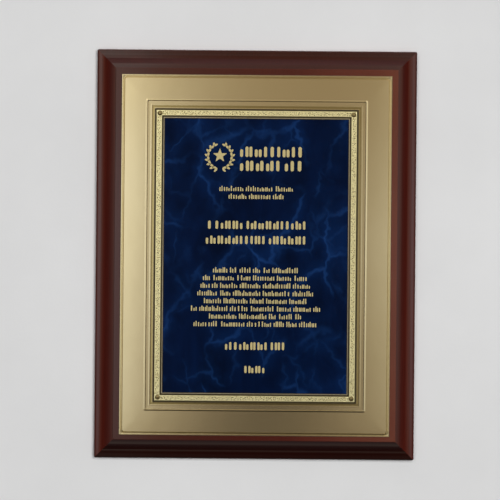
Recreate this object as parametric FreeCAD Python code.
"""Wall plaque: a routed, lacquered board that carries a formed metal frame sheet and an
engraved plate, with corner pins, mounting tapes and keyhole hangers.

Frame: origin at the middle of the back face, which lies against the wall.
+Z is up, +X is to the right for someone who reads the plaque, and the front faces -Y.
All sizes are in millimetres. "Height" means the distance in front of the back face.
"""
import FreeCAD, Part
import math
import os
from FreeCAD import Vector

# ---- board ----
BOARD_WIDTH = 279.4
BOARD_HEIGHT = 357.0
BOARD_THICKNESS = 19.0
BOARD_CORNER_RADIUS = 1.5

# The routed edge rises from the side wall to the platform in four arcs and a small step.
# Each arc has its run towards the middle and the slope, in degrees, that it ends on.
EDGE_ROUND_RUN = 1.7
EDGE_ROUND_SLOPE = 12.0
SHOULDER_RUN = 1.3
SHOULDER_SLOPE = 8.0
COVE_RUN = 6.9
COVE_SLOPE = 44.0
CROWN_RUN = 6.8
CROWN_SLOPE = 18.0
PLATFORM_STEP = 1.5
PLATFORM_CORNER_RADIUS = 2.0
PLATFORM_EDGE_ROUND = 0.4

# ---- formed frame sheet ----
SHEET_MARGIN_SIDE = 5.2
SHEET_MARGIN_END = 4.8
SHEET_DROP = 0.7
SHEET_GAUGE = 0.5
FORM_FLANK = 0.7
RIM_WIDTH = 1.2
RIM_LIFT = 0.4
RIM_GROOVE_WIDTH = 0.6
FIELD_WIDTH = 18.0
FIELD_LIFT = 1.3
RIDGE_WIDTH = 0.7
RIDGE_LIFT = 0.3
LEDGE_WIDTH = 2.2
BEAD_WIDTH = 0.4
BEAD_LIFT = 0.15
INNER_GROOVE_WIDTH = 0.6
INNER_GROOVE_DEPTH = 0.2

# ---- engraved plate ----
PLATE_THICKNESS = 0.8
PLATE_GAP = 0.6
PLATE_DROP = 0.4
PLATE_CORNER_RADIUS = 0.8

# ---- tapes ----
FRAME_TAPE_THICKNESS = 0.8
PLATE_TAPE_THICKNESS = 0.2
TAPE_WIDTH = 12.0
TAPE_TO_PIN = 3.0
TAPE_END_GAP = 1.0

# ---- corner pins ----
PIN_INSET = 4.4
PIN_HEAD_RADIUS = 2.1
PIN_HEAD_HEIGHT = 1.1
PIN_SHANK_RADIUS = 0.75
PIN_LENGTH = 14.0
PIN_POINT_LENGTH = 2.0
PIN_HOLE_CLEARANCE = 0.15
PILOT_CLEARANCE = 0.02

# ---- keyhole hangers ----
HANGER_LENGTH = 38.0
HANGER_WIDTH = 16.0
HANGER_THICKNESS = 1.5
HANGER_RECESS = 0.3
HANGER_CLEARANCE = 0.25
HANGER_EDGE_DISTANCE = 34.0
KEYHOLE_ENTRY_RADIUS = 4.75
KEYHOLE_SLOT_WIDTH = 4.8
KEYHOLE_TRAVEL = 8.0
KEYHOLE_ENTRY_DROP = 3.5
CAVITY_WALL = 1.25
CAVITY_DEPTH = 8.0

# ---- hanger screws ----
SCREW_SPACING = 29.0
SCREW_HEAD_RADIUS = 3.0
SCREW_SHANK_RADIUS = 1.6
SCREW_LENGTH = 11.0
SCREW_POINT_LENGTH = 2.5
SCREW_HOLE_CLEARANCE = 0.15
SCREW_SUNK = 0.1
RECESS_SPAN = 3.4
RECESS_WIDTH = 0.8
RECESS_DEPTH = 0.9

# ---- derived sizes ----
MOULDING_RUN = EDGE_ROUND_RUN + SHOULDER_RUN + COVE_RUN + CROWN_RUN
PLATFORM_WIDTH = BOARD_WIDTH - 2 * MOULDING_RUN
PLATFORM_HEIGHT = BOARD_HEIGHT - 2 * MOULDING_RUN
SHEET_WIDTH = PLATFORM_WIDTH - 2 * SHEET_MARGIN_SIDE
SHEET_HEIGHT = PLATFORM_HEIGHT - 2 * SHEET_MARGIN_END
SHEET_Z = -SHEET_DROP
PLATE_Z = SHEET_Z - PLATE_DROP
SHEET_BACK = BOARD_THICKNESS
CENTRE_BACK = SHEET_BACK + FRAME_TAPE_THICKNESS
CENTRE_FRONT = CENTRE_BACK + SHEET_GAUGE
PLATE_BACK = CENTRE_FRONT + PLATE_TAPE_THICKNESS
PLATE_FRONT = PLATE_BACK + PLATE_THICKNESS
KEYHOLE_SLOT_RADIUS = KEYHOLE_SLOT_WIDTH / 2
CAVITY_FLOOR = HANGER_RECESS + HANGER_THICKNESS + CAVITY_DEPTH
HANGER_FACE = HANGER_RECESS
HANGER_SEAT = HANGER_RECESS + HANGER_THICKNESS
SCREW_TOP = HANGER_FACE + SCREW_SUNK
SCREW_HEAD_HEIGHT = SCREW_HEAD_RADIUS - SCREW_SHANK_RADIUS

BACKWARDS = Vector(0, 1, 0)
FORWARDS = Vector(0, -1, 0)

# How far a cutting shape runs past the faces that it opens.
OVERCUT = 1.0
# How nearly parallel or level counts as parallel or level.
NEARLY = 0.99
LEVEL_TOLERANCE = 1e-6


def slab(width, height, low, high, centre_x=0.0, centre_z=0.0):
    """A flat block centred on (centre_x, centre_z), from one height to another."""
    corner = Vector(centre_x - width / 2, -high, centre_z - height / 2)
    return Part.makeBox(width, high - low, height, corner)


def rounded_slab(width, height, low, high, radius, centre_z=0.0):
    """A slab whose four corners, seen from the front, are rounded."""
    block = slab(width, height, low, high, 0.0, centre_z)
    corners = [e for e in block.Edges if abs(e.tangentAt(e.FirstParameter).y) > NEARLY]
    return block.makeFillet(radius, corners)


def rod(radius, low, high, x=0.0, z=0.0):
    """A round rod that points forwards, from one height to another."""
    return Part.makeCylinder(radius, high - low, Vector(x, -low, z), FORWARDS)


def stadium(length, width, low, high):
    """A slab with round ends, long in Z, centred on the origin."""
    radius = width / 2
    reach = length / 2 - radius
    body = slab(width, 2 * reach, low, high)
    ends = [rod(radius, low, high, 0, z) for z in (-reach, reach)]
    return body.fuse(ends).removeSplitter()


def arc_edge(start, slope_in, slope_out, run):
    """An arc of the edge profile from its start point, with the slopes in degrees.

    Returns the edge and its end point. Profile points are (distance in from the edge, height).
    """
    a = math.radians(slope_in)
    b = math.radians(slope_out)
    middle = (a + b) / 2
    radius = run / (math.sin(a) - math.sin(b))

    def point(angle):
        along = radius * (math.sin(a) - math.sin(angle))
        rise = radius * (math.cos(angle) - math.cos(a))
        return (start[0] + along, start[1] + rise)

    end = point(b)
    through = [Vector(p[0], -p[1], 0) for p in (start, point(middle), end)]
    return Part.Arc(*through).toShape(), end


def line_edge(start, end):
    """A straight edge between two profile points."""
    return Part.makeLine(Vector(start[0], -start[1], 0), Vector(end[0], -end[1], 0))


def moulding_face():
    """The section of the board's routed edge, closed down to the back face."""
    arcs = [
        (90.0, EDGE_ROUND_SLOPE, EDGE_ROUND_RUN),
        (EDGE_ROUND_SLOPE, SHOULDER_SLOPE, SHOULDER_RUN),
        (SHOULDER_SLOPE, COVE_SLOPE, COVE_RUN),
        (COVE_SLOPE, CROWN_SLOPE, CROWN_RUN),
    ]
    point = (0.0, 0.0)
    edges = []
    for slope_in, slope_out, run in arcs:
        edge, point = arc_edge(point, slope_in, slope_out, run)
        edges.append(edge)
    lift = BOARD_THICKNESS - PLATFORM_STEP - point[1]
    for edge in edges:
        edge.translate(Vector(0, -lift, 0))
    crown = (MOULDING_RUN, BOARD_THICKNESS - PLATFORM_STEP)
    edges.insert(0, line_edge((0, 0), (0, lift)))
    edges.append(line_edge(crown, (MOULDING_RUN, 0)))
    edges.append(line_edge((MOULDING_RUN, 0), (0, 0)))
    return Part.Face(Part.Wire(edges))


def mitred_side(face, length, reach, top):
    """One side of a frame: a section run along its length, with 45 degree ends."""
    run = face.extrude(Vector(0, 0, length))
    run.translate(Vector(0, 0, -length / 2))
    outer = length / 2
    inner = length / 2 - reach
    outline = [(0, -outer), (reach, -inner), (reach, inner), (0, outer)]
    points = [Vector(x, OVERCUT, z) for x, z in outline]
    trapezoid = Part.Face(Part.makePolygon(points + points[:1]))
    return run.common(trapezoid.extrude(Vector(0, -(top + 2 * OVERCUT), 0)))


def mitred_frame(face, width, height, reach, top):
    """Four mitred sides of one section, whose outer edge is width by height."""
    sides = []
    for turn, length, shift in (
        (0, height, Vector(-width / 2, 0, 0)),
        (90, width, Vector(0, 0, height / 2)),
        (180, height, Vector(width / 2, 0, 0)),
        (270, width, Vector(0, 0, -height / 2)),
    ):
        side = mitred_side(face, length, reach, top)
        side.rotate(Vector(0, 0, 0), Vector(0, 1, 0), turn)
        side.translate(shift)
        sides.append(side)
    return sides


def pin_centres():
    """Where the four corner pins stand, by corner name."""
    x = PLATE_WIDTH / 2 - PIN_INSET
    top = PLATE_Z + PLATE_HEIGHT / 2 - PIN_INSET
    bottom = PLATE_Z - PLATE_HEIGHT / 2 + PIN_INSET
    return {
        "top_left": (-x, top),
        "top_right": (x, top),
        "bottom_left": (-x, bottom),
        "bottom_right": (x, bottom),
    }


def sheet_form():
    """The front line of the formed sheet: (distance in from its edge, height over the platform)."""
    steps = [
        (RIM_WIDTH, RIM_LIFT),
        (RIM_GROOVE_WIDTH, 0.0),
        (FIELD_WIDTH, FIELD_LIFT),
        (RIDGE_WIDTH, FIELD_LIFT + RIDGE_LIFT),
        (LEDGE_WIDTH, FRAME_TAPE_THICKNESS),
        (BEAD_WIDTH, FRAME_TAPE_THICKNESS + BEAD_LIFT),
        (INNER_GROOVE_WIDTH, FRAME_TAPE_THICKNESS - INNER_GROOVE_DEPTH),
    ]
    line = []
    inward = 0.0
    for width, lift in steps:
        line.append((inward, lift))
        line.append((inward + width, lift))
        inward += width + FORM_FLANK
    line.append((inward, FRAME_TAPE_THICKNESS))
    line[0] = (0.0, 0.0)
    line.insert(1, (FORM_FLANK / 2, RIM_LIFT))
    return line


SHEET_LINE = sheet_form()
FORMED_RUN = SHEET_LINE[-1][0]
PLATE_WIDTH = SHEET_WIDTH - 2 * (FORMED_RUN + PLATE_GAP)
PLATE_HEIGHT = SHEET_HEIGHT - 2 * (FORMED_RUN + PLATE_GAP)


def hanger_places():
    """Each hanger's name, the middle of its keyhole plate and its turn about Y.

    The top one hangs the board upright. The side one hangs it with that side uppermost.
    """
    return {
        "top": (0.0, BOARD_HEIGHT / 2 - HANGER_EDGE_DISTANCE, 0.0),
        "side": (BOARD_WIDTH / 2 - HANGER_EDGE_DISTANCE, 0.0, 90.0),
    }


def place_hanger(shape, name):
    """Turn and move a shape drawn about a hanger's own middle to where that hanger is."""
    x, z, turn = hanger_places()[name]
    placed = shape.copy()
    placed.rotate(Vector(0, 0, 0), Vector(0, 1, 0), turn)
    placed.translate(Vector(x, 0, z))
    return placed


def keyhole(growth, low, high):
    """The keyhole opening, grown outwards: a round entry with a slot above it."""
    entry_z = -KEYHOLE_ENTRY_DROP
    slot_top = entry_z + KEYHOLE_TRAVEL
    slot = slab(KEYHOLE_SLOT_WIDTH + 2 * growth, KEYHOLE_TRAVEL, low, high, 0, entry_z + KEYHOLE_TRAVEL / 2)
    entry = rod(KEYHOLE_ENTRY_RADIUS + growth, low, high, 0, entry_z)
    end = rod(KEYHOLE_SLOT_RADIUS + growth, low, high, 0, slot_top)
    return entry.fuse([slot, end]).removeSplitter()


def head_cavity():
    """The space behind the keyhole where the head of the wall screw slides up."""
    radius = KEYHOLE_ENTRY_RADIUS + CAVITY_WALL
    length = KEYHOLE_TRAVEL + 2 * radius
    cavity = stadium(length, 2 * radius, HANGER_SEAT - OVERCUT, CAVITY_FLOOR)
    cavity.translate(Vector(0, 0, KEYHOLE_TRAVEL / 2 - KEYHOLE_ENTRY_DROP))
    return cavity


def screw_cone(growth):
    """The tapered part of a countersunk head, with its wide end at the screw's top."""
    wide = SCREW_HEAD_RADIUS + growth
    narrow = SCREW_SHANK_RADIUS + growth
    return Part.makeCone(wide, narrow, SCREW_HEAD_HEIGHT, Vector(0, -SCREW_TOP, 0), FORWARDS)


def hanger_screw():
    """A countersunk wood screw with a cross recess, driven in from the back."""
    neck = SCREW_TOP + SCREW_HEAD_HEIGHT
    tip = SCREW_TOP + SCREW_LENGTH
    shank = rod(SCREW_SHANK_RADIUS, neck, tip - SCREW_POINT_LENGTH)
    point = Part.makeCone(
        SCREW_SHANK_RADIUS, 0, SCREW_POINT_LENGTH, Vector(0, SCREW_POINT_LENGTH - tip, 0), FORWARDS)
    screw = screw_cone(0.0).fuse([shank, point]).removeSplitter()
    across = slab(RECESS_SPAN, RECESS_WIDTH, SCREW_TOP - OVERCUT, SCREW_TOP + RECESS_DEPTH)
    along = slab(RECESS_WIDTH, RECESS_SPAN, SCREW_TOP - OVERCUT, SCREW_TOP + RECESS_DEPTH)
    return screw.cut([across, along])


def hanger_screw_hole():
    """The countersunk hole in the hanger and the pilot hole under it, for one screw."""
    mouth = rod(SCREW_HEAD_RADIUS + SCREW_HOLE_CLEARANCE, HANGER_FACE - OVERCUT, SCREW_TOP)
    through = rod(SCREW_SHANK_RADIUS + SCREW_HOLE_CLEARANCE, HANGER_FACE, HANGER_SEAT + OVERCUT)
    return screw_cone(SCREW_HOLE_CLEARANCE).fuse([mouth, through])


def screw_offsets():
    """Where the two screws stand along a hanger."""
    return {"lower": -SCREW_SPACING / 2, "upper": SCREW_SPACING / 2}


def keyhole_hanger():
    """A flat steel hanger with a keyhole between two countersunk screw holes."""
    plate = stadium(HANGER_LENGTH, HANGER_WIDTH, HANGER_FACE, HANGER_SEAT)
    cuts = [keyhole(0.0, HANGER_FACE - OVERCUT, HANGER_SEAT + OVERCUT)]
    for z in screw_offsets().values():
        hole = hanger_screw_hole()
        hole.translate(Vector(0, 0, z))
        cuts.append(hole)
    return plate.cut(cuts)


def hanger_pocket():
    """What is cut from the board's back for one hanger, its screws and the sliding head."""
    length = HANGER_LENGTH + 2 * HANGER_CLEARANCE
    width = HANGER_WIDTH + 2 * HANGER_CLEARANCE
    pocket = stadium(length, width, -OVERCUT, HANGER_SEAT)
    pilots = []
    for z in screw_offsets().values():
        tip = SCREW_TOP + SCREW_LENGTH
        pilots.append(rod(SCREW_SHANK_RADIUS + PILOT_CLEARANCE, HANGER_SEAT - OVERCUT, tip, 0, z))
    return [pocket, head_cavity()] + pilots


def board():
    """The routed board with its platform, pin pilots and hanger pockets."""
    crown = BOARD_THICKNESS - PLATFORM_STEP
    sides = mitred_frame(moulding_face(), BOARD_WIDTH, BOARD_HEIGHT, MOULDING_RUN, BOARD_THICKNESS)
    core = slab(PLATFORM_WIDTH, PLATFORM_HEIGHT, 0, crown)
    platform = rounded_slab(
        PLATFORM_WIDTH, PLATFORM_HEIGHT, crown, BOARD_THICKNESS, PLATFORM_CORNER_RADIUS)
    rim = [e for e in platform.Edges if e.BoundBox.YMax < LEVEL_TOLERANCE - BOARD_THICKNESS]
    platform = platform.makeFillet(PLATFORM_EDGE_ROUND, rim)
    body = core.fuse(sides + [platform]).removeSplitter()
    outline = rounded_slab(
        BOARD_WIDTH, BOARD_HEIGHT, -OVERCUT, BOARD_THICKNESS + OVERCUT, BOARD_CORNER_RADIUS)
    body = body.common(outline)
    cuts = []
    pilot_bottom = PLATE_FRONT - PIN_LENGTH
    for x, z in pin_centres().values():
        cuts.append(rod(PIN_SHANK_RADIUS + PILOT_CLEARANCE, pilot_bottom, BOARD_THICKNESS + OVERCUT, x, z))
    for name in hanger_places():
        cuts.extend(place_hanger(shape, name) for shape in hanger_pocket())
    return body.cut(cuts)


def pin_holes(low, high):
    """Clearance holes for the four pins, from one height to another."""
    radius = PIN_SHANK_RADIUS + PIN_HOLE_CLEARANCE
    return [rod(radius, low - OVERCUT, high + OVERCUT, x, z) for x, z in pin_centres().values()]


def frame_sheet():
    """The formed sheet: rim, groove, wide field, ridge, bead and flat centre, in one gauge."""
    front = [(u, SHEET_BACK + lift + SHEET_GAUGE) for u, lift in SHEET_LINE]
    back = [(u, SHEET_BACK + lift) for u, lift in reversed(SHEET_LINE)]
    ring = front + back
    edges = [line_edge(a, b) for a, b in zip(ring, ring[1:] + ring[:1])]
    face = Part.Face(Part.Wire(edges))
    sides = mitred_frame(face, SHEET_WIDTH, SHEET_HEIGHT, FORMED_RUN, PLATE_FRONT)
    centre = slab(
        SHEET_WIDTH - 2 * FORMED_RUN, SHEET_HEIGHT - 2 * FORMED_RUN, CENTRE_BACK, CENTRE_FRONT)
    body = centre.fuse(sides).removeSplitter()
    body.translate(Vector(0, 0, SHEET_Z))
    return body.cut(pin_holes(CENTRE_BACK, CENTRE_FRONT))


def engraved_plate():
    """The thin plate that carries the engraving, with a pin hole at each corner."""
    plate = rounded_slab(
        PLATE_WIDTH, PLATE_HEIGHT, PLATE_BACK, PLATE_FRONT, PLATE_CORNER_RADIUS, PLATE_Z)
    return plate.cut(pin_holes(PLATE_BACK, PLATE_FRONT))


def tape_strips(low, high):
    """Four strips of mounting tape round the middle, inside the row of pins."""
    inset = PIN_INSET + TAPE_TO_PIN
    half_width = PLATE_WIDTH / 2 - inset
    half_height = PLATE_HEIGHT / 2 - inset
    upright = 2 * (half_height - TAPE_WIDTH - TAPE_END_GAP)
    x = half_width - TAPE_WIDTH / 2
    z = half_height - TAPE_WIDTH / 2
    return {
        "top": slab(2 * half_width, TAPE_WIDTH, low, high, 0, PLATE_Z + z),
        "bottom": slab(2 * half_width, TAPE_WIDTH, low, high, 0, PLATE_Z - z),
        "left": slab(TAPE_WIDTH, upright, low, high, -x, PLATE_Z),
        "right": slab(TAPE_WIDTH, upright, low, high, x, PLATE_Z),
    }


def corner_pin():
    """A brass pin with a domed head, drawn about its own axis."""
    dome_radius = (PIN_HEAD_RADIUS ** 2 + PIN_HEAD_HEIGHT ** 2) / (2 * PIN_HEAD_HEIGHT)
    ball = Part.makeSphere(dome_radius, Vector(0, -(PLATE_FRONT + PIN_HEAD_HEIGHT - dome_radius), 0))
    head = ball.common(rod(PIN_HEAD_RADIUS + OVERCUT, PLATE_FRONT, PLATE_FRONT + PIN_HEAD_HEIGHT + OVERCUT))
    tip = PLATE_FRONT - PIN_LENGTH
    shank = rod(PIN_SHANK_RADIUS, tip + PIN_POINT_LENGTH, PLATE_FRONT)
    point = Part.makeCone(
        PIN_SHANK_RADIUS, 0, PIN_POINT_LENGTH, Vector(0, -(tip + PIN_POINT_LENGTH), 0), BACKWARDS)
    return head.fuse([shank, point]).removeSplitter()


def build():
    """Every node of the plaque, by name."""
    nodes = {
        "plaque_board": board(),
        "frame_sheet": frame_sheet(),
        "engraved_plate": engraved_plate(),
    }
    for place, strip in tape_strips(SHEET_BACK, CENTRE_BACK).items():
        nodes["frame_tape_" + place] = strip
    for place, strip in tape_strips(CENTRE_FRONT, PLATE_BACK).items():
        nodes["plate_tape_" + place] = strip
    for corner, (x, z) in pin_centres().items():
        pin = corner_pin()
        pin.translate(Vector(x, 0, z))
        nodes["corner_pin_" + corner] = pin
    for name in hanger_places():
        nodes["keyhole_hanger_" + name] = place_hanger(keyhole_hanger(), name)
        for end, z in screw_offsets().items():
            screw = hanger_screw()
            screw.translate(Vector(0, 0, z))
            nodes["hanger_screw_" + name + "_" + end] = place_hanger(screw, name)
    return nodes


os.makedirs("parts", exist_ok=True)
for node_name, shape in build().items():
    solids = shape.Solids
    assert shape.isValid() and len(solids) == 1, node_name
    solids[0].exportStep("parts/" + node_name + ".step")
    print(node_name, round(shape.Volume, 1), [round(v, 2) for v in (
        shape.BoundBox.XMin, shape.BoundBox.XMax, shape.BoundBox.YMin,
        shape.BoundBox.YMax, shape.BoundBox.ZMin, shape.BoundBox.ZMax)])
